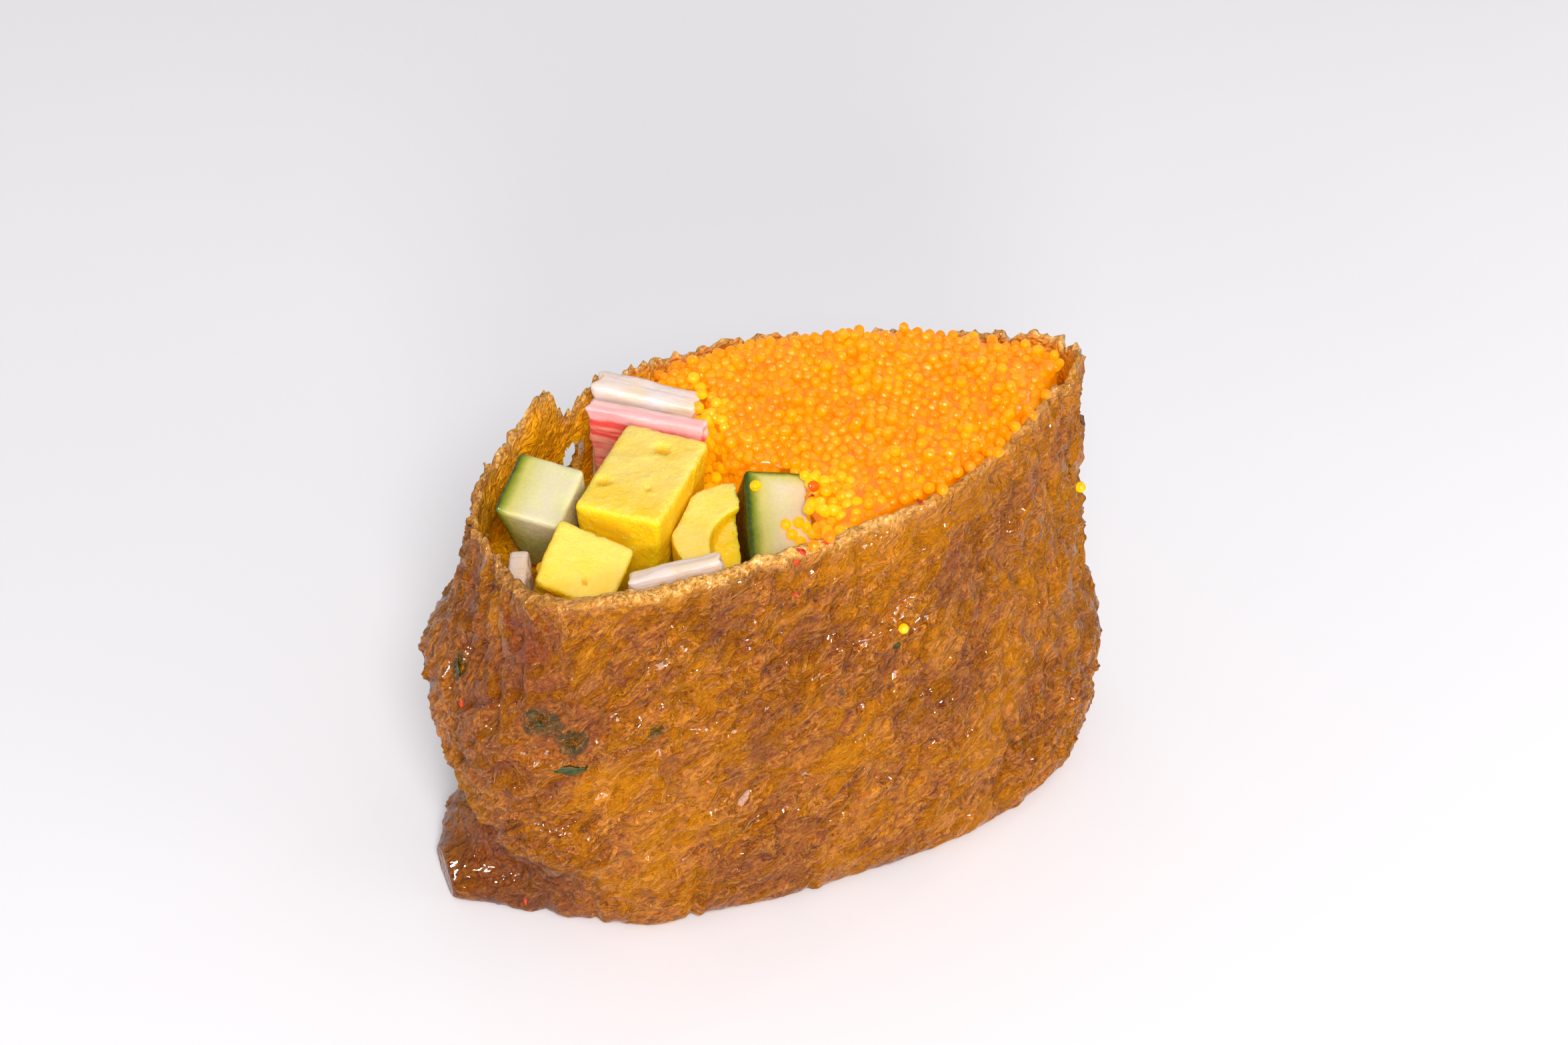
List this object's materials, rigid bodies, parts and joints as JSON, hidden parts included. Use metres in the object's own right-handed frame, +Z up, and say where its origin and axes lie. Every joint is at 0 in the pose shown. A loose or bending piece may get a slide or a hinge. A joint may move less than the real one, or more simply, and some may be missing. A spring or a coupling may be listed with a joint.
{
  "type": "inari sushi",
  "caption": "Open fried tofu pouch filled to the brim: flying fish roe at one end, diced rolled omelette, cucumber and crab stick at the other.",
  "frame": {"origin": "middle of the pouch's footprint, on the surface it stands on", "axes": "+X along the long axis towards the roe end, +Y towards the pouch's back wall, +Z up"},
  "size_m": [0.0754, 0.0398, 0.0479],
  "materials": {
    "fried_tofu": "wrinkled fried tofu skin, amber brown, moist with seasoning syrup",
    "roe": "wet translucent orange beads",
    "omelette": "moist fine-pored yellow egg",
    "cucumber": "wet pale green flesh with a dark green skin",
    "crab_red": "fibrous crab stick with red streaks over pink",
    "crab_white": "fibrous off-white crab stick"
  },
  "bodies": {
    "root": {"pouch": "fried_tofu", "roe": "roe", "omelette_long": "omelette", "omelette_short": "omelette", "omelette_end": "omelette", "cucumber_left": "cucumber", "cucumber_right": "cucumber", "crab_stick": "crab_red", "crab_slab": "crab_white", "crab_strip_front": "crab_white", "crab_strip_left": "crab_white"}
  },
  "joints": []
}
